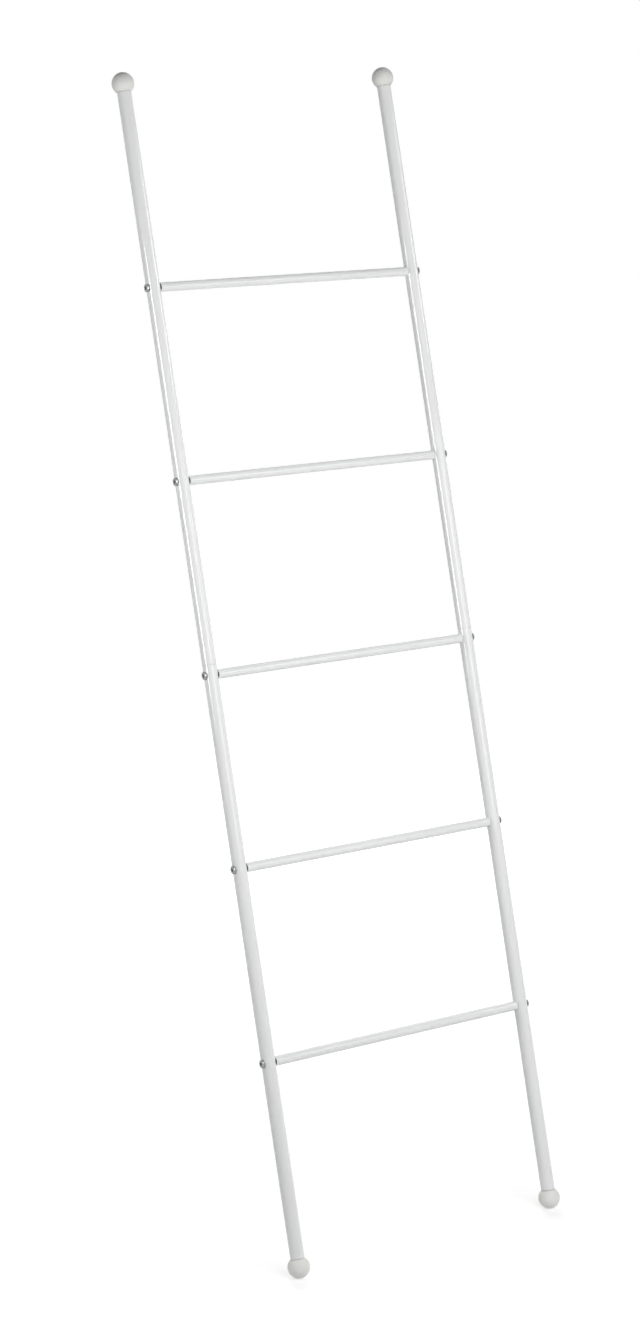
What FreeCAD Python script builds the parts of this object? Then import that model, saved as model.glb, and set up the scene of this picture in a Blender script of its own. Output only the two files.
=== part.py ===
import FreeCAD, Part
import os
import Sketcher

# Leaning towel ladder, in millimetres.
# Two tube rails, each in two lengths over an inner sleeve, carry five tube rungs. A screw through the rail
# pulls each rung end against it, and a moulded ball with a ribbed spigot closes each rail end.
# +X runs along the rungs to the right, +Z is up, and the ladder leans back towards +Y.
# The origin is on the floor, midway between the rails and halfway along the ladder's depth.

# Driving dimensions: name, value, meaning
DRIVING_SIZES = (
    ("overall_length", 1500, "along a rail, over both balls"),
    ("lean_angle", 14, "degrees that the rails lean back from upright"),
    ("rail_spacing", 408, "between the axes of the two rails"),
    ("rail_diameter", 18, "outside of the rail tube"),
    ("rail_wall", 1, "wall of the rail tube"),
    ("rail_edge", 0.3, "chamfer on the outer edge of a rail tube's ends"),
    ("seam_above_rung", 12.5, "from the middle rung's axis up to the seam in the rail"),
    ("sleeve_length", 100, "tube inside the seam, half of it in each length of rail"),
    ("sleeve_wall", 1.2, "wall of the sleeve tube"),
    ("sleeve_edge", 0.5, "chamfer on the outer edge of the sleeve's ends"),
    ("rung_pitch", 241, "between the axes of neighbouring rungs, along the rails"),
    ("rung_diameter", 12, "outside of the rung tube"),
    ("rung_wall", 1, "wall of the rung tube"),
    ("rung_edge", 0.2, "chamfer on the outer edge of a rung's ends"),
    ("insert_length", 18, "threaded insert pressed into a rung's end"),
    ("insert_recess", 2, "from the rung's end in to the insert"),
    ("insert_land", 4, "full-width land at each end of the insert"),
    ("screw_diameter", 6, "outside of the screw's thread"),
    ("screw_engagement", 14, "length of screw inside the insert"),
    ("screw_tip", 0.8, "chamfer on the screw's tip"),
    ("head_diameter", 10.5, "screw head"),
    ("head_height", 3.3, "from the head's seat to the top of its dome"),
    ("head_rim", 1.6, "straight rim under the dome"),
    ("socket_width", 4, "hex socket in the head, across flats"),
    ("socket_depth", 2, "hex socket, from the top of the dome"),
    ("ball_diameter", 28, "ball on a rail's end"),
    ("ball_floor", 6, "solid wall between the ball's pole and its hollow core"),
    ("core_diameter", 9, "hollow core moulded in the ball and its spigot"),
    ("spigot_length", 26, "part of the ball moulding that plugs into the rail"),
    ("spigot_tip", 1, "chamfer on the spigot's tip"),
    ("rib_start", 3, "from the ball's seat to the first groove on the spigot"),
    ("rib_pitch", 6, "between neighbouring grooves on the spigot"),
    ("rib_gap", 4, "width of a groove between two ribs"),
    ("rib_height", 0.6, "depth of a groove between two ribs"),
    ("fit_clearance", 0.05, "radial, of sleeve, insert and spigot in their tubes"),
    ("thread_clearance", 0.05, "radial, of the screw in its insert"),
    ("hole_clearance", 0.2, "radial, of the screw in the rail and the sleeve"),
)

# Names of the rungs, each with its count of pitches above the middle rung
RUNGS = (("bottom", -2), ("lower", -1), ("middle", 0), ("upper", 1), ("top", 2))
SIDES = (("left", -1), ("right", 1))
HEX_CORNERS = 6

# Formulas on the driving dimensions
RAIL_RADIUS = "sizes.rail_diameter / 2"
RAIL_BORE = "(sizes.rail_diameter / 2 - sizes.rail_wall)"
RUNG_RADIUS = "sizes.rung_diameter / 2"
RUNG_BORE = "(sizes.rung_diameter / 2 - sizes.rung_wall)"
RUNG_LENGTH = "(sizes.rail_spacing - sizes.rail_diameter)"
HOLE_RADIUS = "(sizes.screw_diameter / 2 + sizes.hole_clearance)"
BALL_RADIUS = "sizes.ball_diameter / 2"
SLIDE_RADIUS = f"({RAIL_BORE} - sizes.fit_clearance)"

# Stations along a rail, measured from the centre of the foot ball
TOP_BALL = "(sizes.overall_length - sizes.ball_diameter)"
BALL_SEAT = "sqrt((sizes.ball_diameter / 2) ^ 2 - (sizes.rail_diameter / 2) ^ 2)"
MIDDLE_RUNG = f"({TOP_BALL} / 2)"
SEAM = f"({MIDDLE_RUNG} + sizes.seam_above_rung)"
SLEEVE_FOOT = f"({SEAM} - sizes.sleeve_length / 2)"

# Turns of a piece: leaning with the rails, then upside down, or turned round to face the other rail
LEANING = "rotation(vector(1; 0; 0); -sizes.lean_angle)"
UPSIDE_DOWN = "rotation(vector(1; 0; 0); 180 - sizes.lean_angle)"
FACING_LEFT = "rotation(vector(0; sin(sizes.lean_angle / 2); cos(sizes.lean_angle / 2)); 180)"

SAME_SIZE = 1e-6


def make_sheet(doc):
    """Write the driving dimensions into a sheet, one row each, with the value's cell aliased."""
    sheet = doc.addObject("Spreadsheet::Sheet", "sizes")
    for row, (alias, value, meaning) in enumerate(DRIVING_SIZES, start=1):
        sheet.set(f"A{row}", alias)
        sheet.set(f"B{row}", str(value))
        sheet.setAlias(f"B{row}", alias)
        sheet.set(f"C{row}", meaning)
    doc.recompute()


def rung_station(pitches):
    """Formula for a rung's place along the rails."""
    return f"({MIDDLE_RUNG} + {pitches} * sizes.rung_pitch)"


def placed(across, station, turn):
    """Formula for a placement: across the ladder from its middle, and at a station along the rails."""
    back = f"({station} - {MIDDLE_RUNG}) * sin(sizes.lean_angle)"
    height = f"{BALL_RADIUS} + {station} * cos(sizes.lean_angle)"
    return f"placement(vector({across}; {back}; {height}); {turn})"


def new_body(doc, node, placement):
    """Start a sub-part that is named after its node and bound to its place on the ladder."""
    body = doc.addObject("PartDesign::Body", node)
    body.Label = node
    body.setExpression("Placement", placement)
    return body


def origin_feature(body, role):
    """Find a plane or axis of the body's own origin."""
    return next(item for item in body.Origin.OriginFeatures if item.Role == role)


def new_sketch(body, name, plane):
    """Add a sketch on one of the body's origin planes."""
    sketch = body.newObject("Sketcher::SketchObject", name)
    sketch.AttachmentSupport = (origin_feature(body, plane), [""])
    sketch.MapMode = "FlatFace"
    return sketch


def constrain(sketch, kind, formula, *elements):
    """Add a dimension whose value follows a formula."""
    index = sketch.addConstraint(Sketcher.Constraint(kind, *elements, sketch.evalExpression(formula)))
    sketch.setExpression(f"Constraints[{index}]", formula)


def add_circle(sketch, radius, height=None):
    """Draw a circle at the sketch's origin, or at a height above it."""
    y = sketch.evalExpression(height) if height else 0
    centre = FreeCAD.Vector(0, y, 0)
    circle = sketch.addGeometry(Part.Circle(centre, FreeCAD.Vector(0, 0, 1), sketch.evalExpression(radius)))
    constrain(sketch, "Radius", radius, circle)
    if height:
        sketch.addConstraint(Sketcher.Constraint("PointOnObject", circle, 3, -2))
        constrain(sketch, "DistanceY", height, -1, 1, circle, 3)
    else:
        sketch.addConstraint(Sketcher.Constraint("Coincident", circle, 3, -1, 1))


def arc_on_axis(start, end, axis):
    """Anticlockwise arc between two points, with its centre on the sketch's X or Y axis."""
    along = FreeCAD.Vector(1, 0, 0) if axis == "X" else FreeCAD.Vector(0, 1, 0)
    reach = (end.dot(end) - start.dot(start)) / (2 * along.dot(end - start))
    centre = along * reach
    circle = Part.Circle(centre, FreeCAD.Vector(0, 0, 1), start.distanceToPoint(centre))
    return Part.ArcOfCircle(circle, circle.parameter(start), circle.parameter(end))


def add_outline(sketch, corners, arcs_from=(), axis="X"):
    """Draw a closed outline through corners given as pairs of formulas, in anticlockwise order.

    The side that starts at a corner numbered in arcs_from is an arc centred on the axis of revolution.
    """
    points = [FreeCAD.Vector(sketch.evalExpression(x), sketch.evalExpression(y), 0) for x, y in corners]
    for number, start in enumerate(points):
        end = points[(number + 1) % len(points)]
        if number in arcs_from:
            sketch.addGeometry(arc_on_axis(start, end, axis))
            sketch.addConstraint(Sketcher.Constraint("PointOnObject", number, 3, -1 if axis == "X" else -2))
        else:
            sketch.addGeometry(Part.LineSegment(start, end))
    for number, (x, y) in enumerate(corners):
        following = (number + 1) % len(corners)
        sketch.addConstraint(Sketcher.Constraint("Coincident", number, 2, following, 1))
        for kind, formula, zero_line in (("DistanceX", x, -2), ("DistanceY", y, -1)):
            if formula == "0":
                sketch.addConstraint(Sketcher.Constraint("PointOnObject", number, 1, zero_line))
            else:
                constrain(sketch, kind, formula, -1, 1, number, 1)


def pad_ring(body, plane, outer, inner, length, symmetric=False):
    """Make a tube by padding two circles."""
    sketch = new_sketch(body, f"{body.Name}_section", plane)
    add_circle(sketch, outer)
    add_circle(sketch, inner)
    pad = body.newObject("PartDesign::Pad", f"{body.Name}_tube")
    pad.Profile = sketch
    pad.SideType = "Symmetric" if symmetric else "One side"
    pad.setExpression("Length", length)


def revolve(body, plane, corners, arcs_from=(), axis="X"):
    """Turn an outline about its sketch's X or Y axis."""
    sketch = new_sketch(body, f"{body.Name}_outline", plane)
    add_outline(sketch, corners, arcs_from, axis)
    turned = body.newObject("PartDesign::Revolution", f"{body.Name}_turned")
    turned.Profile = sketch
    turned.ReferenceAxis = (sketch, ["H_Axis" if axis == "X" else "V_Axis"])
    turned.Angle = 360


def drill_across(body, heights):
    """Drill screw holes right through a tube, in the direction of the rungs."""
    sketch = new_sketch(body, f"{body.Name}_screw_holes", "YZ_Plane")
    for height in heights:
        add_circle(sketch, HOLE_RADIUS, height)
    pocket = body.newObject("PartDesign::Pocket", f"{body.Name}_drilled")
    pocket.Profile = sketch
    pocket.Type = "ThroughAll"
    pocket.SideType = "Symmetric"


def chamfer_ends(doc, body, radius, size):
    """Break the round outer edges at a tube's two ends."""
    doc.recompute()
    base = body.Tip
    wanted = body.evalExpression(radius)
    edges = []
    for number, edge in enumerate(base.Shape.Edges, start=1):
        if isinstance(edge.Curve, Part.Circle) and abs(edge.Curve.Radius - wanted) < SAME_SIZE:
            edges.append(f"Edge{number}")
    chamfer = body.newObject("PartDesign::Chamfer", f"{body.Name}_ends")
    chamfer.Base = (base, edges)
    chamfer.setExpression("Size", size)


def make_rail(doc, node, side, start, end, rungs):
    """One length of rail, with a screw hole at each of its rungs."""
    body = new_body(doc, node, placed(f"{side} * sizes.rail_spacing / 2", start, LEANING))
    pad_ring(body, "XY_Plane", RAIL_RADIUS, RAIL_BORE, f"{end} - {start}")
    drill_across(body, [f"{rung_station(pitches)} - {start}" for pitches in rungs])
    chamfer_ends(doc, body, RAIL_RADIUS, "sizes.rail_edge")


def make_sleeve(doc, node, side):
    """Inner tube across a rail's seam, crossed by the middle rung's screw."""
    body = new_body(doc, node, placed(f"{side} * sizes.rail_spacing / 2", SLEEVE_FOOT, LEANING))
    pad_ring(body, "XY_Plane", SLIDE_RADIUS, f"{SLIDE_RADIUS} - sizes.sleeve_wall", "sizes.sleeve_length")
    drill_across(body, [f"{MIDDLE_RUNG} - {SLEEVE_FOOT}"])
    chamfer_ends(doc, body, SLIDE_RADIUS, "sizes.sleeve_edge")


def make_rung(doc, node, pitches):
    """Square-cut tube from rail to rail."""
    body = new_body(doc, node, placed("0", rung_station(pitches), LEANING))
    pad_ring(body, "YZ_Plane", RUNG_RADIUS, RUNG_BORE, RUNG_LENGTH, symmetric=True)
    chamfer_ends(doc, body, RUNG_RADIUS, "sizes.rung_edge")


def make_insert(doc, node, side, pitches):
    """Threaded bush pressed into a rung's end: two lands, and a waist halfway down to the bore."""
    across = f"{side} * ({RUNG_LENGTH} / 2 - sizes.insert_recess)"
    body = new_body(doc, node, placed(across, rung_station(pitches), LEANING if side < 0 else FACING_LEFT))
    bore = "(sizes.screw_diameter / 2 + sizes.thread_clearance)"
    land = f"({RUNG_BORE} - sizes.fit_clearance)"
    waist = f"({bore} + {land}) / 2"
    far_land = "(sizes.insert_length - sizes.insert_land)"
    corners = (
        ("0", bore),
        ("sizes.insert_length", bore),
        ("sizes.insert_length", land),
        (far_land, land),
        (far_land, waist),
        ("sizes.insert_land", waist),
        ("sizes.insert_land", land),
        ("0", land),
    )
    revolve(body, "XZ_Plane", corners)


def make_screw(doc, node, side, pitches):
    """Button-head screw, from the top of its dome on the rail's outer side to its tip in the insert."""
    across = f"{side} * (sizes.rail_spacing / 2 + {RAIL_RADIUS} + sizes.head_height)"
    body = new_body(doc, node, placed(across, rung_station(pitches), LEANING if side < 0 else FACING_LEFT))
    head = "sizes.head_diameter / 2"
    thread = "sizes.screw_diameter / 2"
    rim = "(sizes.head_height - sizes.head_rim)"
    tip = "(sizes.head_height + sizes.rail_diameter + sizes.insert_recess + sizes.screw_engagement)"
    corners = (
        ("0", "0"),
        (tip, "0"),
        (tip, f"{thread} - sizes.screw_tip"),
        (f"{tip} - sizes.screw_tip", thread),
        ("sizes.head_height", thread),
        ("sizes.head_height", head),
        (rim, head),
    )
    revolve(body, "XZ_Plane", corners, arcs_from=(len(corners) - 1,))
    cut_hex_socket(body)


def cut_hex_socket(body):
    """Sink the hex socket into the dome of a screw head."""
    sketch = new_sketch(body, f"{body.Name}_hexagon", "YZ_Plane")
    corner = "sizes.socket_width / sqrt(3)"
    corners = []
    for number in range(HEX_CORNERS):
        angle = (number + 0.5) * 360 / HEX_CORNERS
        upright = angle in (90, 270)
        corners.append(("0" if upright else f"{corner} * cos({angle})", f"{corner} * sin({angle})"))
    add_outline(sketch, corners)
    socket = body.newObject("PartDesign::Pocket", f"{body.Name}_socket")
    socket.Profile = sketch
    socket.Reversed = True
    socket.setExpression("Length", "sizes.socket_depth")


def make_ball(doc, node, side, station, turn):
    """Moulded ball with a seat for the rail's end and a hollow ribbed spigot, drawn from its pole."""
    body = new_body(doc, node, placed(f"{side} * sizes.rail_spacing / 2", station, turn))
    seat = f"({BALL_RADIUS} + {BALL_SEAT})"
    tip = f"({seat} + sizes.spigot_length)"
    core = "sizes.core_diameter / 2"
    corners = (
        ("0", "0"),
        (RAIL_RADIUS, seat),
        (SLIDE_RADIUS, seat),
        (SLIDE_RADIUS, f"{tip} - sizes.spigot_tip"),
        (f"{SLIDE_RADIUS} - sizes.spigot_tip", tip),
        (core, tip),
        (core, "sizes.ball_floor"),
        ("0", "sizes.ball_floor"),
    )
    revolve(body, "XZ_Plane", corners, arcs_from=(0,), axis="Y")
    cut_spigot_ribs(body, seat)


def cut_spigot_ribs(body, seat):
    """Leave ribs on the spigot by turning as many grooves as its length has room for."""
    bottom = f"({seat} + sizes.rib_start)"
    top = f"({bottom} + sizes.rib_gap)"
    root = f"({SLIDE_RADIUS} - sizes.rib_height)"
    clear = RAIL_RADIUS
    ribbed_length = "(sizes.spigot_length - sizes.spigot_tip - sizes.rib_start)"
    sketch = new_sketch(body, f"{body.Name}_groove_section", "XZ_Plane")
    add_outline(sketch, ((root, bottom), (clear, bottom), (clear, top), (root, top)))
    groove = body.newObject("PartDesign::Groove", f"{body.Name}_groove")
    groove.Profile = sketch
    groove.ReferenceAxis = (sketch, ["V_Axis"])
    groove.Angle = 360
    pattern = body.newObject("PartDesign::LinearPattern", f"{body.Name}_grooves")
    pattern.Originals = [groove]
    pattern.Direction = (origin_feature(body, "Z_Axis"), [""])
    pattern.Mode = "Spacing"
    pattern.setExpression("Offset", "sizes.rib_pitch")
    pattern.setExpression("Occurrences", f"floor({ribbed_length} / sizes.rib_pitch)")
    body.Tip = pattern


def make_ladder(doc):
    """Make every sub-part of the ladder in its place."""
    lower_rungs = [pitches for name, pitches in RUNGS if pitches <= 0]
    upper_rungs = [pitches for name, pitches in RUNGS if pitches > 0]
    rail_top = f"({TOP_BALL} - {BALL_SEAT})"
    for hand, side in SIDES:
        make_rail(doc, f"{hand}_rail_lower", side, BALL_SEAT, SEAM, lower_rungs)
        make_rail(doc, f"{hand}_rail_upper", side, SEAM, rail_top, upper_rungs)
        make_sleeve(doc, f"{hand}_rail_sleeve", side)
        make_ball(doc, f"{hand}_foot_ball", side, f"(-{BALL_RADIUS})", LEANING)
        make_ball(doc, f"{hand}_top_ball", side, f"({TOP_BALL} + {BALL_RADIUS})", UPSIDE_DOWN)
    for name, pitches in RUNGS:
        make_rung(doc, f"{name}_rung", pitches)
        for hand, side in SIDES:
            make_insert(doc, f"{name}_rung_{hand}_insert", side, pitches)
            make_screw(doc, f"{name}_rung_{hand}_screw", side, pitches)
    doc.recompute()


def check_document(doc):
    """Stop if any object failed, or if any sub-part isn't one valid solid."""
    for item in doc.Objects:
        if "Invalid" in item.State or "Error" in item.State:
            raise RuntimeError(f"{item.Label} failed: {item.State}")
    for body in sub_parts(doc):
        if body.Shape.isNull() or not body.Shape.isValid() or len(body.Shape.Solids) != 1:
            raise RuntimeError(f"{body.Label} isn't one valid solid")


def sub_parts(doc):
    """List the bodies, one for each sub-part."""
    return [item for item in doc.Objects if item.isDerivedFrom("PartDesign::Body")]


def write_parts(doc):
    """Write each sub-part to a file that has its name."""
    os.makedirs("parts", exist_ok=True)
    for body in sub_parts(doc):
        body.Shape.exportStep(f"parts/{body.Label}.step")


ladder = FreeCAD.newDocument("towel_ladder")
make_sheet(ladder)
make_ladder(ladder)
check_document(ladder)
write_parts(ladder)
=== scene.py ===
"""Looks of a leaning white towel ladder: laid out as an add-on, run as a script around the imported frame."""

import math
from typing import NamedTuple

import bmesh
import bpy
from bpy.props import FloatProperty, FloatVectorProperty, IntProperty, PointerProperty
from mathutils import Matrix, Vector


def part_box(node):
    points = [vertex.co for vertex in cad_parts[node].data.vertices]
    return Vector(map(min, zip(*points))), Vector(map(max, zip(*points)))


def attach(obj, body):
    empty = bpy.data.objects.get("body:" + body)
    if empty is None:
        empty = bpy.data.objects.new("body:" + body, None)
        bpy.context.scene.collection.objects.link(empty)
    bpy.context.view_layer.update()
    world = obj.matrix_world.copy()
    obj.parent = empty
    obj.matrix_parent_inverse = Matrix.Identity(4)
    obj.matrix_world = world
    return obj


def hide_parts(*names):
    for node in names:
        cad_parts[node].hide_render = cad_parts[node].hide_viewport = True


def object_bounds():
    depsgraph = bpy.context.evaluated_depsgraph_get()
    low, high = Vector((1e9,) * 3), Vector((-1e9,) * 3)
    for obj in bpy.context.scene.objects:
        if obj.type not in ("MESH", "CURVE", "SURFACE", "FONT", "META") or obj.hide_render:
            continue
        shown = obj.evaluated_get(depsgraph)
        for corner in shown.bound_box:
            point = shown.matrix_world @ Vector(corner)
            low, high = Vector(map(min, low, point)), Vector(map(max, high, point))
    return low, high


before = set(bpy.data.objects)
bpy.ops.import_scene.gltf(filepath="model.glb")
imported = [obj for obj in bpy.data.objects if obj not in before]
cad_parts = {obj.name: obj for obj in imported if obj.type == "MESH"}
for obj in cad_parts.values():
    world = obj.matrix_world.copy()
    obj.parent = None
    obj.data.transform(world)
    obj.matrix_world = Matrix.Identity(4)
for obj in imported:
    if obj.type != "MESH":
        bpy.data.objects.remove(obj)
cad_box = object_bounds()

bl_info = {
    "name": "Towel Ladder Looks",
    "version": (1, 0, 0),
    "blender": (4, 5, 0),
    "location": "View3D > Sidebar > Towel Ladder",
    "description": "Dresses a leaning towel ladder with lacquered tubes, moulded balls and plated screws",
    "category": "Object",
}

HANDS = {"left": -1, "right": 1}
RUNGS = ("bottom", "lower", "middle", "upper", "top")
RAIL_LENGTHS = {"lower": ("bottom", "lower", "middle"), "upper": ("upper", "top")}

MILLIMETRE = 0.001
SAME_PLACE = 0.000001
SHARP_ANGLE = math.radians(35)
SENSOR_WIDTH = 36
WHITE = (1.0, 1.0, 1.0, 1.0)
UP = Vector((0, 0, 1))


# Places taken from the frame

def middle_of(node):
    """Middle of a CAD node's box."""
    low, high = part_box(node)
    return (low + high) / 2


def reach(node, way):
    """How far a CAD node reaches along a direction, at its near end and its far end."""
    along = [vertex.co.dot(way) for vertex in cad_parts[node].data.vertices]
    return min(along), max(along)


ACROSS = Vector((1, 0, 0))
RAIL_WAY = (middle_of("top_rung") - middle_of("bottom_rung")).normalized()


def on_rail(hand, along):
    """Point on a rail's axis, at a distance along the rails as reach() gives it."""
    middle = middle_of("middle_rung")
    point = middle + RAIL_WAY * (along - middle.dot(RAIL_WAY))
    point.x = middle_of(f"{hand}_rail_lower").x
    return point


def set_along(point, way):
    """Matrix that takes a shape built up local Z to a point, with Z turned along the rungs or the rails."""
    runs_across = abs(way.dot(ACROSS)) > 0.5
    side = RAIL_WAY if runs_across else ACROSS
    rotation = Matrix((side, way.cross(side), way)).transposed()
    return Matrix.Translation(point) @ rotation.to_4x4()


# Sizes and colours

def length(name, description, millimetres):
    """Property for a length, with its default given in millimetres."""
    return FloatProperty(name=name, description=description, default=millimetres * MILLIMETRE, min=0,
                         precision=5, unit="LENGTH")


def angle(name, description, degrees):
    """Property for an angle, with its default given in degrees."""
    return FloatProperty(name=name, description=description, default=math.radians(degrees), subtype="ANGLE")


def face_count(name, description, default):
    """Property for a number of faces around or along a piece."""
    return IntProperty(name=name, description=description, default=default, min=3, max=256)


def share(name, description, default):
    """Property for a share of another size."""
    return FloatProperty(name=name, description=description, default=default, min=0, max=1, subtype="FACTOR")


def colour(name, description, default):
    """Property for a linear colour."""
    return FloatVectorProperty(name=name, description=description, default=default, size=3, min=0, max=1,
                               subtype="COLOR")


def brightness(name, description, default):
    """Property for a brightness, where white is 1."""
    return FloatProperty(name=name, description=description, default=default, min=0)


class TowelLadderSizes(bpy.types.PropertyGroup):
    """Sizes of the pieces that the frame's boxes don't give."""

    rail_diameter: length("Rail diameter", "Outside of a rail tube", 18)
    rail_wall: length("Rail wall", "Wall of a rail tube", 1)
    rail_edge: length("Rail edge", "Rounding of a rail tube's cut edges", 0.3)
    rung_diameter: length("Rung diameter", "Outside of a rung tube", 12)
    rung_wall: length("Rung wall", "Wall of a rung tube", 1)
    rung_edge: length("Rung edge", "Rounding of a rung tube's cut edges", 0.25)
    hole_diameter: length("Screw hole", "Hole for a screw through a rail", 6.4)
    ball_diameter: length("Ball diameter", "Ball on a rail's end", 28)
    ball_floor: length("Ball floor", "Solid wall between the ball's pole and its hollow core", 6)
    core_diameter: length("Ball core", "Hollow core of the ball and its spigot", 9)
    seat_gap: length("Seat gap", "Shadow gap between the ball's shoulder and the rail's end", 0.4)
    spigot_clearance: length("Spigot clearance", "Gap around the spigot in the rail", 0.05)
    spigot_tip: length("Spigot tip", "Chamfer on the spigot's tip", 1)
    groove_start: length("First groove", "From the ball's seat to the first groove on the spigot", 3)
    groove_pitch: length("Groove pitch", "Between neighbouring grooves on the spigot", 6)
    groove_width: length("Groove width", "Width of a groove between two ribs", 4)
    groove_depth: length("Groove depth", "Depth of a groove between two ribs", 0.6)
    head_diameter: length("Head diameter", "Screw head", 10.5)
    head_height: length("Head height", "From the head's seat to the top of its dome", 3.3)
    head_rim: length("Head rim", "Straight rim under the dome", 1.6)
    head_edge: length("Head edge", "Rounding of the rim's two edges", 0.35)
    socket_width: length("Socket width", "Hex socket, across flats", 4)
    socket_depth: length("Socket depth", "Hex socket, from the top of the dome", 2)
    socket_lip: length("Socket lip", "Countersink around the hex socket's corners", 0.25)
    screw_diameter: length("Screw diameter", "Outside of the thread", 6)
    thread_pitch: length("Thread pitch", "From one turn of the thread to the next", 1)
    thread_depth: length("Thread depth", "From the thread's crest to its root", 0.55)
    tube_sides: face_count("Tube sides", "Faces around a tube", 96)
    ball_sides: face_count("Ball sides", "Faces around a ball", 96)
    hole_sides: face_count("Hole sides", "Faces around a screw hole", 32)
    screw_sides: face_count("Screw sides", "Faces around a screw, six times a whole number", 48)


class TowelLadderColours(bpy.types.PropertyGroup):
    """Base colours of the finishes."""

    lacquer: colour("Lacquer", "Gloss white lacquer on the tubes", (0.785, 0.795, 0.792))
    lacquer_edge: colour("Lacquer edge", "Lacquer that runs thin on a cut edge", (0.67, 0.68, 0.68))
    plastic: colour("Plastic", "Matt moulded plastic of the balls", (0.785, 0.785, 0.76))
    # Both zinc colours are darkened well below real bright zinc: painted dark reflection, standing in for the
    # dark surroundings that bright zinc mirrors; the mottle between them is random tone
    plate: colour("Zinc plate", "Bright zinc plate of the screws", (0.34, 0.345, 0.35))
    plate_tint: colour("Zinc tint", "Faint passivation tint in the zinc plate", (0.25, 0.255, 0.265))
    bare_steel: colour("Bare steel", "Inside of the tubes and the sleeves", (0.30, 0.30, 0.31))
    floor: colour("Floor", "Plain pale floor", (0.53, 0.53, 0.53))


class TowelLadderStage(bpy.types.PropertyGroup):
    """Camera and light."""

    camera_place: FloatVectorProperty(name="Camera place", description="Where the camera stands", size=3,
                                      default=(-2.638, -3.400, 1.565), subtype="TRANSLATION", unit="LENGTH")
    camera_heading: angle("Camera heading", "Turned from +Y towards +X", 37.44)
    camera_tilt: angle("Camera tilt", "Looking down", 11.05)
    camera_lens: FloatProperty(name="Lens", default=94.7, min=10,
                               description=f"Focal length on a {SENSOR_WIDTH} mm sensor, in millimetres")
    ambient: brightness("Ambient", "Even light from all round", 0.13)
    fill: brightness("Panel fill", "Brightness of the front panel, which the other panels follow", 5.0)
    glow: brightness("Softbox glow", "Brightness that the softboxes and the strip follow", 5.0)
    bounce: brightness("Bounce", "Brightness of the card of light under each foot", 0.24)


# Node building

# A noise texture stays mostly between these
NOISE_LOW, NOISE_HIGH = 0.3, 0.7
# Places of the Mix node's colour sockets, whose names its other sockets have too
MIX_FIRST, MIX_SECOND, MIX_RESULT = 6, 7, 2


def add_node(tree, kind, inputs=None, **settings):
    """Add a node, set its properties, and give its inputs a value or a link from another node's output."""
    node = tree.nodes.new(kind)
    for name, value in settings.items():
        setattr(node, name, value)
    for name, value in (inputs or {}).items():
        if isinstance(value, bpy.types.NodeSocket):
            tree.links.new(value, node.inputs[name])
        else:
            node.inputs[name].default_value = value
    return node


def grain_group():
    """Node group for fine relief and broad mottling on Object coordinates, built once for every finish."""
    name = "fine_grain_and_mottle"
    if name in bpy.data.node_groups:
        return bpy.data.node_groups[name]
    group = bpy.data.node_groups.new(name, "ShaderNodeTree")
    for label in ("Grain Scale", "Mottle Scale", "Stretch"):
        group.interface.new_socket(name=label, in_out="INPUT", socket_type="NodeSocketFloat")
    for label in ("Relief", "Mottle"):
        group.interface.new_socket(name=label, in_out="OUTPUT", socket_type="NodeSocketFloat")
    entry = add_node(group, "NodeGroupInput")
    place = add_node(group, "ShaderNodeTexCoord").outputs["Object"]
    stretch = add_node(group, "ShaderNodeCombineXYZ", {"X": entry.outputs["Stretch"], "Y": 1.0, "Z": 1.0})
    pulled = add_node(group, "ShaderNodeVectorMath", {
        0: place, 1: stretch.outputs[0]}, operation="MULTIPLY").outputs[0]
    relief = add_node(group, "ShaderNodeTexNoise", {
        "Vector": pulled, "Scale": entry.outputs["Grain Scale"], "Detail": 3.0, "Roughness": 0.45})
    mottle = add_node(group, "ShaderNodeTexNoise", {
        "Vector": pulled, "Scale": entry.outputs["Mottle Scale"], "Detail": 2.0, "Roughness": 0.5})
    add_node(group, "NodeGroupOutput", {"Relief": relief.outputs[0], "Mottle": mottle.outputs[0]})
    return group


def finish(make, colours):
    """A finish's material, made the first time that a piece asks for it."""
    return bpy.data.materials.get(make.__name__) or make(colours)


def start_material(name, grain_scale, mottle_scale, stretch=1.0, **constants):
    """Material with a Principled shader set to constants, and a grain group ready to drive it."""
    material = bpy.data.materials.new(name)
    material.use_nodes = True
    tree = material.node_tree
    shader = next(node for node in tree.nodes if node.type == "BSDF_PRINCIPLED")
    for socket, value in constants.items():
        shader.inputs[socket.replace("_", " ")].default_value = value
    scales = {"Grain Scale": grain_scale, "Mottle Scale": mottle_scale, "Stretch": stretch}
    grain = add_node(tree, "ShaderNodeGroup", scales, node_tree=grain_group())
    return material, tree, shader, grain


def blend_colours(tree, factor, first, second):
    """Colour that runs from the first to the second as the factor rises; each is a colour or an output."""
    ends = [end if isinstance(end, bpy.types.NodeSocket) else (*end, 1.0) for end in (first, second)]
    mix = add_node(tree, "ShaderNodeMix", {"Factor": factor, MIX_FIRST: ends[0], MIX_SECOND: ends[1]},
                   data_type="RGBA")
    return mix.outputs[MIX_RESULT]


def spread(tree, noise, low, high):
    """A noise value, spread between a low and a high number."""
    ranges = {"From Min": NOISE_LOW, "From Max": NOISE_HIGH, "To Min": low, "To Max": high}
    return add_node(tree, "ShaderNodeMapRange", {"Value": noise, **ranges}).outputs[0]


def roughen(tree, shader, height, strength, millimetres):
    """Feed a height to the shader's normal through a bump node."""
    bump = add_node(tree, "ShaderNodeBump", {
        "Height": height, "Strength": strength, "Distance": millimetres * MILLIMETRE})
    tree.links.new(bump.outputs[0], shader.inputs["Normal"])


def toned(shade, factor):
    """A colour times a factor: darker below 1, paler above it."""
    return [channel * factor for channel in shade]


# Finishes

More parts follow.
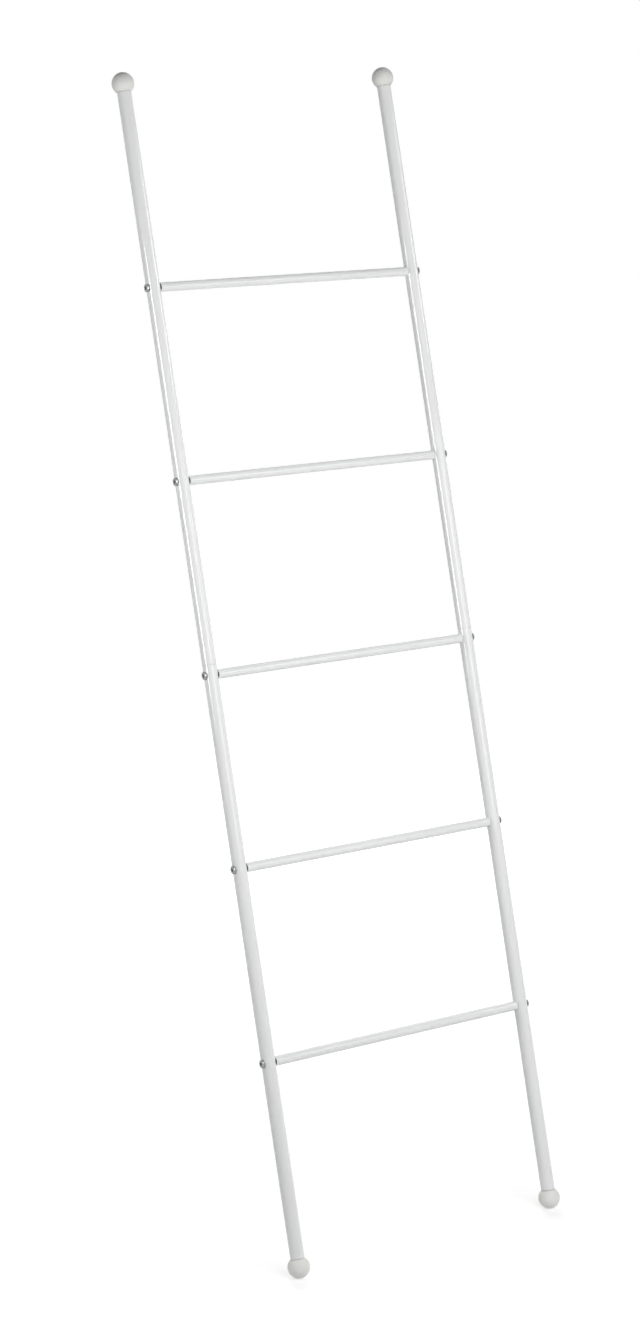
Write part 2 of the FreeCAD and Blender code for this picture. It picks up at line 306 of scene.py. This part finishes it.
def gloss_lacquer(colours):
    """Gloss lacquer with a faint orange peel, thin and greyer on the cut edges."""
    material, tree, shader, grain = start_material(
        "gloss_lacquer", grain_scale=420, mottle_scale=9, Coat_Weight=0.6, Coat_Roughness=0.06, IOR=1.5)
    tone = blend_colours(tree, grain.outputs["Mottle"], toned(colours.lacquer, 0.985), colours.lacquer)
    edge = add_node(tree, "ShaderNodeAttribute", attribute_name="cut_edge")
    tone = blend_colours(tree, edge.outputs["Fac"], tone, colours.lacquer_edge)
    tree.links.new(tone, shader.inputs["Base Color"])
    tree.links.new(spread(tree, grain.outputs["Mottle"], low=0.10, high=0.15), shader.inputs["Roughness"])
    roughen(tree, shader, grain.outputs["Relief"], strength=0.04, millimetres=0.05)
    return material


def drawn_bore(colours):
    """Dull drawn steel inside the tubes, streaked along the rungs."""
    material, tree, shader, grain = start_material(
        "drawn_bore", grain_scale=900, mottle_scale=60, stretch=0.08, Metallic=1.0)
    tone = blend_colours(tree, grain.outputs["Mottle"], toned(colours.bare_steel, 0.6), colours.bare_steel)
    tree.links.new(tone, shader.inputs["Base Color"])
    tree.links.new(spread(tree, grain.outputs["Relief"], low=0.42, high=0.62), shader.inputs["Roughness"])
    roughen(tree, shader, grain.outputs["Relief"], strength=0.25, millimetres=0.05)
    return material


def moulded_plastic(colours):
    """Matt moulded plastic with a fine spark-eroded texture."""
    material, tree, shader, grain = start_material(
        "moulded_plastic", grain_scale=2600, mottle_scale=55, IOR=1.46, Specular_IOR_Level=0.25)
    tone = blend_colours(tree, grain.outputs["Mottle"], toned(colours.plastic, 0.97), colours.plastic)
    tree.links.new(tone, shader.inputs["Base Color"])
    tree.links.new(spread(tree, grain.outputs["Relief"], low=0.46, high=0.60), shader.inputs["Roughness"])
    roughen(tree, shader, grain.outputs["Relief"], strength=0.08, millimetres=0.04)
    return material


def zinc_plate(colours):
    """Zinc plating over turned steel, with rings from the turning; its colours are darkened well below real
    bright zinc as painted dark reflection.
    """
    phase_per_metre = 9000.0
    material, tree, shader, grain = start_material(
        "zinc_plate", grain_scale=1500, mottle_scale=260, Metallic=1.0)
    # Random mottle between two zinc colours, both darkened as painted dark reflection
    tone = blend_colours(tree, grain.outputs["Mottle"], colours.plate_tint, colours.plate)
    tree.links.new(tone, shader.inputs["Base Color"])
    tree.links.new(spread(tree, grain.outputs["Mottle"], low=0.20, high=0.34), shader.inputs["Roughness"])
    turned = add_node(tree, "ShaderNodeAttribute", attribute_name="from_axis")
    phase = add_node(tree, "ShaderNodeMath", {
        0: turned.outputs["Fac"], 1: phase_per_metre}, operation="MULTIPLY")
    rings = add_node(tree, "ShaderNodeMath", {0: phase.outputs[0]}, operation="SINE")
    roughen(tree, shader, rings.outputs[0], strength=0.10, millimetres=0.03)
    return material


def drawn_sleeve(colours):
    """Bare drawn tube of the sleeves."""
    material, tree, shader, grain = start_material(
        "drawn_sleeve", grain_scale=700, mottle_scale=45, Metallic=1.0)
    pale = toned(colours.bare_steel, 1.7)
    tone = blend_colours(tree, grain.outputs["Mottle"], toned(pale, 0.8), pale)
    tree.links.new(tone, shader.inputs["Base Color"])
    tree.links.new(spread(tree, grain.outputs["Relief"], low=0.30, high=0.46), shader.inputs["Roughness"])
    roughen(tree, shader, grain.outputs["Relief"], strength=0.15, millimetres=0.04)
    return material


def turned_insert(colours):
    """Turned and zinc-plated steel of the threaded inserts."""
    material, tree, shader, grain = start_material(
        "turned_insert", grain_scale=1200, mottle_scale=90, Metallic=1.0)
    # The inserts take the screws' zinc colour, which holds painted dark reflection, and dim it further
    insert_zinc_with_painted_reflection = toned(colours.plate, 0.8)
    tone = blend_colours(tree, grain.outputs["Mottle"], toned(insert_zinc_with_painted_reflection, 0.75), insert_zinc_with_painted_reflection)
    tree.links.new(tone, shader.inputs["Base Color"])
    tree.links.new(spread(tree, grain.outputs["Mottle"], low=0.32, high=0.50), shader.inputs["Roughness"])
    roughen(tree, shader, grain.outputs["Relief"], strength=0.15, millimetres=0.04)
    return material


# Mesh building

def from_axis(vertex):
    """Distance of a vertex from the local Z axis."""
    return vertex.co.xy.length


def draw_on(bm, start, points):
    """Extrude a vertex through (radius, height) points, and return the last one."""
    last = start
    for radius, height in points:
        last = bmesh.ops.extrude_vert_indiv(bm, verts=[last])["verts"][0]
        last.co = (radius, 0, height)
    return last


def swing(bm, start, centre_height, sweep, steps):
    """Swing a vertex up an arc about a point on the axis, or down for a minus sweep, and return its end."""
    made = bmesh.ops.spin(bm, geom=[start], cent=(0, 0, centre_height), axis=(0, -1, 0), dvec=(0, 0, 0),
                          angle=sweep, steps=steps, use_merge=False, use_duplicate=False)
    return next(item for item in made["geom_last"] if isinstance(item, bmesh.types.BMVert))


def turn(bm, sides):
    """Turn the profile drawn so far right round the Z axis into a closed skin."""
    bmesh.ops.spin(bm, geom=bm.verts[:] + bm.edges[:], cent=(0, 0, 0), axis=(0, 0, 1), dvec=(0, 0, 0),
                   angle=math.tau, steps=sides, use_merge=True, use_duplicate=False)
    bmesh.ops.remove_doubles(bm, verts=bm.verts, dist=SAME_PLACE)
    bmesh.ops.recalc_face_normals(bm, faces=bm.faces)


def round_off(bm, edges, size):
    """Round edges off with a bevel."""
    bmesh.ops.bevel(bm, geom=edges, offset=size, offset_type="OFFSET", segments=3, profile=0.5,
                    affect="EDGES", material=-1)


def ring_at(bm, height):
    """Cut a ring of edges round a shape at a height, so that its faces can differ on either side."""
    bmesh.ops.bisect_plane(bm, geom=bm.verts[:] + bm.edges[:] + bm.faces[:], dist=SAME_PLACE,
                           plane_co=(0, 0, height), plane_no=(0, 0, 1))


def level_ring(edge, radius, height):
    """Is this edge part of the ring at a radius and a height?"""
    return all(abs(from_axis(vertex) - radius) < SAME_PLACE and abs(vertex.co.z - height) < SAME_PLACE
               for vertex in edge.verts)


def link_mesh(bm, name, materials=()):
    """Link an object with a finished mesh to the scene."""
    mesh = bpy.data.meshes.new(name)
    bm.to_mesh(mesh)
    bm.free()
    for material in materials:
        mesh.materials.append(material)
    thing = bpy.data.objects.new(name, mesh)
    bpy.context.scene.collection.objects.link(thing)
    return thing


def add_piece(bm, name, node, place, materials):
    """Set a finished mesh in its place as a piece that stands for a CAD node."""
    bmesh.ops.transform(bm, matrix=place, verts=bm.verts)
    piece = link_mesh(bm, name, materials)
    piece.data.shade_smooth()
    piece.data.set_sharp_from_angle(angle=SHARP_ANGLE)
    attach(piece, "root")
    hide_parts(node)
    return piece


def tube(outer, wall, long, sides, edge_size):
    """Open tube up the Z axis with rounded cut edges; its bore takes the second material."""
    bm = bmesh.new()
    bore = outer - wall
    first = bm.verts.new((outer, 0, 0))
    last = draw_on(bm, first, ((outer, long), (bore, long), (bore, 0)))
    bm.edges.new((last, first))
    turn(bm, sides)
    rims = [edge for edge in bm.edges for radius in (outer, bore) for height in (0, long)
            if level_ring(edge, radius, height)]
    round_off(bm, rims, edge_size)
    # A ring just past each rounded edge keeps the edge's shading and thin lacquer off the tube's length
    for height in (2 * edge_size, long - 2 * edge_size):
        ring_at(bm, height)
    cut_edge = bm.verts.layers.float.new("cut_edge")
    for vertex in bm.verts:
        vertex[cut_edge] = vertex.co.z < edge_size or vertex.co.z > long - edge_size
    for face in bm.faces:
        if all(from_axis(vertex) < bore + SAME_PLACE for vertex in face.verts):
            face.material_index = 1
    return bm


def drill(piece, points, diameter, depth, sides):
    """Drill holes through a piece along X, at points given in the frame."""
    bm = bmesh.new()
    for point in points:
        across = Matrix.Translation(point) @ Matrix.Rotation(math.pi / 2, 4, "Y")
        bmesh.ops.create_cone(bm, cap_ends=True, segments=sides, radius1=diameter / 2, radius2=diameter / 2,
                              depth=depth, matrix=across)
    cutter = link_mesh(bm, "drill")
    cut = piece.modifiers.new("screw_holes", "BOOLEAN")
    cut.operation = "DIFFERENCE"
    cut.solver = "EXACT"
    cut.object = cutter
    drilled = bpy.data.meshes.new_from_object(piece.evaluated_get(bpy.context.evaluated_depsgraph_get()))
    used_up = (piece.data, cutter.data)
    piece.modifiers.clear()
    piece.data = drilled
    drilled.name = piece.name
    bpy.data.objects.remove(cutter)
    for mesh in used_up:
        bpy.data.meshes.remove(mesh)


class TOWEL_LADDER_OT_rails(bpy.types.Operator):
    """Make the four lengths of rail tube, drilled for the screws"""

    bl_idname = "towel_ladder.rails"
    bl_label = "Rails"

    band: length("Drilled band", "Length of tube around a hole that gets its own faces", 10)

    def execute(self, context):
        sizes = context.scene.towel_ladder_sizes
        colours = context.scene.towel_ladder_colours
        finishes = (finish(gloss_lacquer, colours), finish(drawn_bore, colours))
        radius = sizes.rail_diameter / 2
        for hand in HANDS:
            for part, rungs in RAIL_LENGTHS.items():
                node = f"{hand}_rail_{part}"
                start, end = reach(node, RAIL_WAY)
                bm = tube(radius, sizes.rail_wall, end - start, sizes.tube_sides, sizes.rail_edge)
                holes = [on_rail(hand, middle_of(f"{rung}_rung").dot(RAIL_WAY)) for rung in rungs]
                for hole in holes:
                    for side in (-1, 1):
                        ring_at(bm, hole.dot(RAIL_WAY) - start + side * self.band / 2)
                place = set_along(on_rail(hand, start), RAIL_WAY)
                piece = add_piece(bm, f"lacquered_{node}", node, place, finishes)
                drill(piece, holes, sizes.hole_diameter, 2 * sizes.rail_diameter, sizes.hole_sides)
        return {"FINISHED"}


class TOWEL_LADDER_OT_rungs(bpy.types.Operator):
    """Make the five rung tubes"""

    bl_idname = "towel_ladder.rungs"
    bl_label = "Rungs"

    def execute(self, context):
        sizes = context.scene.towel_ladder_sizes
        colours = context.scene.towel_ladder_colours
        finishes = (finish(gloss_lacquer, colours), finish(drawn_bore, colours))
        radius = sizes.rung_diameter / 2
        for rung in RUNGS:
            node = f"{rung}_rung"
            start, end = reach(node, ACROSS)
            bm = tube(radius, sizes.rung_wall, end - start, sizes.tube_sides, sizes.rung_edge)
            point = middle_of(node)
            point.x = start
            add_piece(bm, f"lacquered_{node}", node, set_along(point, ACROSS), finishes)
        return {"FINISHED"}


class TOWEL_LADDER_OT_balls(bpy.types.Operator):
    """Make the four moulded balls with their ribbed spigots"""

    bl_idname = "towel_ladder.balls"
    bl_label = "Balls"

    arc_steps: face_count("Arc steps", "Faces from the pole to the seat", 44)

    def execute(self, context):
        sizes = context.scene.towel_ladder_sizes
        finishes = (finish(moulded_plastic, context.scene.towel_ladder_colours),)
        for hand in HANDS:
            for end, sense in (("foot", 1), ("top", -1)):
                node = f"{hand}_{end}_ball"
                into_rail = RAIL_WAY * sense
                near, far = reach(node, into_rail)
                place = set_along(on_rail(hand, sense * near), into_rail)
                bm = self.ball(sizes, far - near)
                add_piece(bm, f"moulded_{node}", node, place, finishes)
        return {"FINISHED"}

    def ball(self, sizes, long):
        """Ball up the Z axis from its pole, with a seat for the rail's end and a hollow ribbed spigot."""
        bm = bmesh.new()
        radius = sizes.ball_diameter / 2
        seat_radius = sizes.rail_diameter / 2
        spigot = seat_radius - sizes.rail_wall - sizes.spigot_clearance
        root = spigot - sizes.groove_depth
        core = sizes.core_diameter / 2
        seat = radius + math.sqrt(radius ** 2 - seat_radius ** 2)
        shoulder = seat - sizes.seat_gap
        pole = bm.verts.new((0, 0, 0))
        edge = swing(bm, pole, radius, math.acos(1 - shoulder / radius), self.arc_steps)
        outline = [(spigot, shoulder)]
        groove = seat + sizes.groove_start
        while groove + sizes.groove_pitch < long - sizes.spigot_tip:
            far_side = groove + sizes.groove_width
            outline += [(spigot, groove), (root, groove), (root, far_side), (spigot, far_side)]
            groove += sizes.groove_pitch
        outline += [(spigot, long - sizes.spigot_tip), (spigot - sizes.spigot_tip, long), (core, long)]
        outline += [(core, sizes.ball_floor), (0, sizes.ball_floor)]
        draw_on(bm, edge, outline)
        turn(bm, sizes.ball_sides)
        return bm


class TOWEL_LADDER_OT_screws(bpy.types.Operator):
    """Make the ten plated screws"""

    bl_idname = "towel_ladder.screws"
    bl_label = "Screws"

    roll_step: angle("Roll step", "How much further each screw's socket is turned", 23)
    dome_steps: face_count("Dome steps", "Faces from the socket's lip to the rim", 8)
    thread_foot: share("Thread foot", "Half the thread's width at its root, in pitches", 0.45)
    thread_crest: share("Thread crest", "Width of the thread's crest, in root widths", 0.125)
    thread_sink: share("Thread sink", "How far the thread's root sits in the shank, in thread depths", 0.1)

    def execute(self, context):
        sizes = context.scene.towel_ladder_sizes
        finishes = (finish(zinc_plate, context.scene.towel_ladder_colours),)
        tip, dome = reach("bottom_rung_right_screw", ACROSS)
        seat_out = dome - sizes.head_height
        pattern = self.screw(sizes, seat_out - tip)
        places = [(rung, hand) for rung in RUNGS for hand in HANDS]
        for number, (rung, hand) in enumerate(places):
            node = f"{rung}_rung_{hand}_screw"
            outwards = ACROSS * HANDS[hand]
            seat = middle_of(f"{rung}_rung")
            seat.x = HANDS[hand] * seat_out
            place = set_along(seat, outwards) @ Matrix.Rotation(number * self.roll_step, 4, "Z")
            add_piece(pattern.copy(), f"plated_{node}", node, place, finishes)
        pattern.free()
        return {"FINISHED"}

    def screw(self, sizes, shank):
        """Button-head screw up the Z axis, with its head's seat at the origin and its shank below it."""
        bm = bmesh.new()
        head = sizes.head_diameter / 2
        crown = sizes.head_height - sizes.head_rim
        dome = (head ** 2 + crown ** 2) / (2 * crown)
        centre = sizes.head_height - dome
        lip = sizes.socket_width / math.sqrt(3) + sizes.socket_lip
        lip_angle = math.asin(lip / dome)
        rim_angle = math.asin(head / dome)
        lip_height = centre + dome * math.cos(lip_angle)
        core = sizes.screw_diameter / 2 - sizes.thread_depth
        tip = core - sizes.thread_depth
        tip_height = -shank + sizes.thread_depth
        start = bm.verts.new((lip, 0, lip_height))
        rim = swing(bm, start, centre, lip_angle - rim_angle, self.dome_steps)
        draw_on(bm, rim, ((head, 0), (core, 0), (core, tip_height), (tip, -shank), (0, -shank)))
        turn(bm, sizes.screw_sides)
        self.sink_socket(bm, sizes, lip, lip_height)
        corners = [edge for edge in bm.edges for height in (sizes.head_rim, 0)
                   if level_ring(edge, head, height)]
        round_off(bm, corners, sizes.head_edge)
        self.wind_thread(bm, sizes, core, shank)
        bmesh.ops.recalc_face_normals(bm, faces=bm.faces)
        turned = bm.verts.layers.float.new("from_axis")
        for vertex in bm.verts:
            vertex[turned] = from_axis(vertex)
        return bm

    def sink_socket(self, bm, sizes, lip, lip_height):
        """Close the head with a hex socket: a countersunk lip, six walls and a flat floor."""
        walls = 6
        corner = lip - sizes.socket_lip
        mouth = [edge for edge in bm.edges if level_ring(edge, lip, lip_height)]
        place = Matrix.Translation((0, 0, lip_height - sizes.socket_lip))
        bmesh.ops.create_circle(bm, cap_ends=False, segments=walls, radius=corner, matrix=place)
        hexagon = [edge for edge in bm.edges if edge.is_wire]
        bmesh.ops.subdivide_edges(bm, edges=hexagon, cuts=sizes.screw_sides // walls - 1)
        ring = [edge for edge in bm.edges if edge.is_wire]
        bmesh.ops.bridge_loops(bm, edges=mouth + ring)
        made = bmesh.ops.extrude_edge_only(bm, edges=ring)
        lower = [item for item in made["geom"] if isinstance(item, bmesh.types.BMVert)]
        for vertex in lower:
            vertex.co.z = sizes.head_height - sizes.socket_depth
        bottom = [edge for edge in bm.edges if edge.is_boundary and all(v in lower for v in edge.verts)]
        made = bmesh.ops.edgeloop_fill(bm, edges=bottom)
        bmesh.ops.poke(bm, faces=made["faces"], offset=0)

    def wind_thread(self, bm, sizes, core, shank):
        """Wind a thread of flat-topped triangular section round the shank."""
        pitch = sizes.thread_pitch
        crest = sizes.screw_diameter / 2
        root = core - self.thread_sink * sizes.thread_depth
        half_foot = self.thread_foot * pitch
        half_crest = self.thread_crest * half_foot
        turns = int((shank - 2 * pitch) / pitch)
        steps = sizes.screw_sides // 2
        outline = ((root, half_foot), (crest, half_crest), (crest, -half_crest), (root, -half_foot))
        section = bm.faces.new([bm.verts.new((radius, 0, rise - pitch)) for radius, rise in outline])
        bmesh.ops.spin(bm, geom=[section], cent=(0, 0, 0), axis=(0, 0, 1), dvec=(0, 0, -pitch / steps),
                       angle=turns * math.tau, steps=turns * steps, use_merge=False, use_duplicate=False)


class TOWEL_LADDER_OT_inner_steel(bpy.types.Operator):
    """Give the hidden sleeves and inserts their bare and plated steel"""

    bl_idname = "towel_ladder.inner_steel"
    bl_label = "Inner steel"

    def execute(self, context):
        colours = context.scene.towel_ladder_colours
        for node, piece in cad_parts.items():
            if node.endswith("_sleeve"):
                self.dress(piece, finish(drawn_sleeve, colours))
            elif node.endswith("_insert"):
                self.dress(piece, finish(turned_insert, colours))
        return {"FINISHED"}

    def dress(self, piece, material):
        """Put one material in every slot of a CAD node."""
        for slot in piece.material_slots:
            slot.material = material


# Stage

class Lamp(NamedTuple):
    """A lamp that faces the ladder's middle: where it stands, how large it is and how bright."""

    heading: float  # degrees round the ladder, to the right of the camera
    distance: float  # metres from the frame's upright axis
    height: float  # metres over the floor
    size: tuple  # metres, width and height
    strength: float  # times the stage's fill for a panel, and its glow for the others


# Panels only light the surfaces, softboxes only show as shine on them, and the strip does both
LAMPS = {
    "front_panel": Lamp(heading=33, distance=1.35, height=1.26, size=(1.3, 0.95), strength=1.0),
    "left_panel": Lamp(heading=-66, distance=1.4, height=1.0, size=(0.7, 0.7), strength=0.95),
    "back_panel": Lamp(heading=185, distance=2.2, height=1.8, size=(2.2, 1.0), strength=1.3),
    "foot_panel": Lamp(heading=62, distance=0.8, height=0.04, size=(0.5, 0.08), strength=0.7),
    "left_softbox": Lamp(heading=-46.5, distance=2.6, height=1.2, size=(0.35, 0.9), strength=4.0),
    "right_softbox": Lamp(heading=40, distance=2.6, height=1.38, size=(0.7, 0.82), strength=0.6),
    "rung_softbox": Lamp(heading=73, distance=2.6, height=1.5, size=(0.4, 0.4), strength=0.65),
    "side_strip": Lamp(heading=94, distance=2.6, height=1.95, size=(0.45, 0.5), strength=1.7),
}


def around(heading, distance, height):
    """Point at a heading round the ladder (0 is the -Y side, turning to +X), a distance and a height."""
    return Vector((math.sin(heading) * distance, -math.cos(heading) * distance, height))


def add_lamp(name, place, target, size, glow):
    """Rectangular lamp that faces a target, with a brightness where white is 1."""
    light = bpy.data.lights.new(name, "AREA")
    light.shape = "RECTANGLE"
    light.size, light.size_y = size
    light.energy = glow * math.pi * light.size * light.size_y
    lamp = bpy.data.objects.new(name, light)
    lamp.location = place
    lamp.rotation_euler = (place - target).to_track_quat("Z", "Y").to_euler()
    lamp.visible_camera = False
    bpy.context.scene.collection.objects.link(lamp)
    return lamp


def seen_directly(tree):
    """One where a ray comes from the camera, a reflection or a clear piece, and nought elsewhere."""
    path = add_node(tree, "ShaderNodeLightPath")
    both = add_node(tree, "ShaderNodeMath", {
        0: path.outputs["Is Camera Ray"], 1: path.outputs["Is Glossy Ray"]}, operation="MAXIMUM")
    return add_node(tree, "ShaderNodeMath", {
        0: both.outputs[0], 1: path.outputs["Is Transmission Ray"]}, operation="MAXIMUM").outputs[0]


class TOWEL_LADDER_OT_stage(bpy.types.Operator):
    """Set the pale floor, the soft lamps, the white surroundings and the camera"""

    bl_idname = "towel_ladder.stage"
    bl_label = "Stage"

    floor_size: length("Floor size", "Side of the floor", 40000)
    card_size: length("Card size", "Side of the card of light under each foot", 120)
    card_height: length("Card height", "Height of that card over the floor", 0.5)
    near_lift: brightness("Near lift", "White added to the seen floor under the ladder", 0.53)
    far_lift: brightness("Far lift", "White added to the seen floor away from the lamps", 0.93)
    lift_reach: length("Lift reach", "How far from the ladder the lift has risen in full", 2400)

    def execute(self, context):
        scene = context.scene
        stage = scene.towel_ladder_stage
        self.lay_floor(scene.towel_ladder_colours)
        self.light_world(scene, stage.ambient)
        self.set_lamps(stage)
        for hand in HANDS:
            self.lay_card(f"{hand}_foot_ball", stage.bounce)
        self.set_camera(scene, stage)
        scene.view_settings.view_transform = "Standard"
        return {"FINISHED"}

    def set_lamps(self, stage):
        """Lamps round the ladder, placed from the camera's side."""
        middle = (cad_box[0] + cad_box[1]) / 2
        for name, lamp in LAMPS.items():
            kind = name.split("_")[-1]
            level = stage.fill if kind == "panel" else stage.glow
            place = around(math.radians(lamp.heading) - stage.camera_heading, lamp.distance, lamp.height)
            added = add_lamp(name, place, middle, lamp.size, lamp.strength * level)
            added.visible_diffuse = kind != "softbox"
            added.visible_glossy = kind != "panel"

    def lay_card(self, node, glow):
        """Card of light on the floor under a piece, for the light that a white floor throws up at it."""
        place = middle_of(node)
        place.z = self.card_height
        card = add_lamp(f"{node}_bounce", place, place + UP, (self.card_size, self.card_size), glow)
        card.visible_glossy = False

    def lay_floor(self, colours):
        """Floor that keeps the shadow and is lifted to white where it is seen."""
        material = bpy.data.materials.new("pale_floor")
        material.use_nodes = True
        tree = material.node_tree
        tree.nodes.clear()
        plain = add_node(tree, "ShaderNodeBsdfDiffuse", {"Color": (*colours.floor, 1.0)})
        place = add_node(tree, "ShaderNodeTexCoord").outputs["Object"]
        away = add_node(tree, "ShaderNodeVectorMath", {0: place}, operation="LENGTH").outputs["Value"]
        white = add_node(tree, "ShaderNodeMapRange", {
            "Value": away, "From Max": self.lift_reach, "To Min": self.near_lift, "To Max": self.far_lift},
            interpolation_type="SMOOTHSTEP").outputs[0]
        strength = add_node(tree, "ShaderNodeMath", {0: seen_directly(tree), 1: white}, operation="MULTIPLY")
        lift = add_node(tree, "ShaderNodeEmission", {"Color": WHITE, "Strength": strength.outputs[0]})
        both = add_node(tree, "ShaderNodeAddShader", {0: plain.outputs[0], 1: lift.outputs[0]})
        add_node(tree, "ShaderNodeOutputMaterial", {"Surface": both.outputs[0]})
        bm = bmesh.new()
        bmesh.ops.create_grid(bm, x_segments=1, y_segments=1, size=self.floor_size / 2)
        floor = link_mesh(bm, "floor", (material,))

    def light_world(self, scene, ambient):
        """World that gives an even light, and is white where it is seen."""
        world = bpy.data.worlds.new("white_studio")
        world.use_nodes = True
        tree = world.node_tree
        tree.nodes.clear()
        even = add_node(tree, "ShaderNodeBackground", {"Color": WHITE, "Strength": ambient})
        white = add_node(tree, "ShaderNodeBackground", {"Color": WHITE, "Strength": 1.0})
        both = add_node(tree, "ShaderNodeMixShader", {
            0: seen_directly(tree), 1: even.outputs[0], 2: white.outputs[0]})
        add_node(tree, "ShaderNodeOutputWorld", {"Surface": both.outputs[0]})
        scene.world = world

    def set_camera(self, scene, stage):
        """Camera at the photograph's viewing angle."""
        camera = bpy.data.objects.new("camera", bpy.data.cameras.new("camera"))
        camera.data.sensor_width = SENSOR_WIDTH
        camera.data.lens = stage.camera_lens
        camera.location = stage.camera_place
        camera.rotation_euler = (math.pi / 2 - stage.camera_tilt, 0, -stage.camera_heading)
        scene.collection.objects.link(camera)
        scene.camera = camera


class VIEW3D_PT_towel_ladder(bpy.types.Panel):
    """Sidebar panel that lists the ladder's groups of pieces and its settings"""

    bl_label = "Towel Ladder"
    bl_space_type = "VIEW_3D"
    bl_region_type = "UI"
    bl_category = "Towel Ladder"

    def draw(self, context):
        for operator in OPERATORS:
            self.layout.operator(operator.bl_idname)
        for name in SETTINGS:
            settings = getattr(context.scene, name)
            for item in settings.bl_rna.properties:
                if item.identifier not in ("rna_type", "name"):
                    self.layout.prop(settings, item.identifier)


OPERATORS = (
    TOWEL_LADDER_OT_rails,
    TOWEL_LADDER_OT_rungs,
    TOWEL_LADDER_OT_balls,
    TOWEL_LADDER_OT_screws,
    TOWEL_LADDER_OT_inner_steel,
    TOWEL_LADDER_OT_stage,
)
SETTINGS = {
    "towel_ladder_sizes": TowelLadderSizes,
    "towel_ladder_colours": TowelLadderColours,
    "towel_ladder_stage": TowelLadderStage,
}


def register():
    """Register the settings, the operators and the panel."""
    for name, group in SETTINGS.items():
        bpy.utils.register_class(group)
        setattr(bpy.types.Scene, name, PointerProperty(type=group))
    for operator in OPERATORS:
        bpy.utils.register_class(operator)
    bpy.utils.register_class(VIEW3D_PT_towel_ladder)


def unregister():
    """Take the panel, the operators and the settings out again."""
    bpy.utils.unregister_class(VIEW3D_PT_towel_ladder)
    for operator in reversed(OPERATORS):
        bpy.utils.unregister_class(operator)
    for name, group in reversed(SETTINGS.items()):
        delattr(bpy.types.Scene, name)
        bpy.utils.unregister_class(group)


def main():
    """Build the dressed ladder and its stage."""
    register()
    bpy.ops.towel_ladder.rails()
    bpy.ops.towel_ladder.rungs()
    bpy.ops.towel_ladder.balls()
    bpy.ops.towel_ladder.screws()
    bpy.ops.towel_ladder.inner_steel()
    bpy.ops.towel_ladder.stage()


if __name__ == "__main__":
    main()
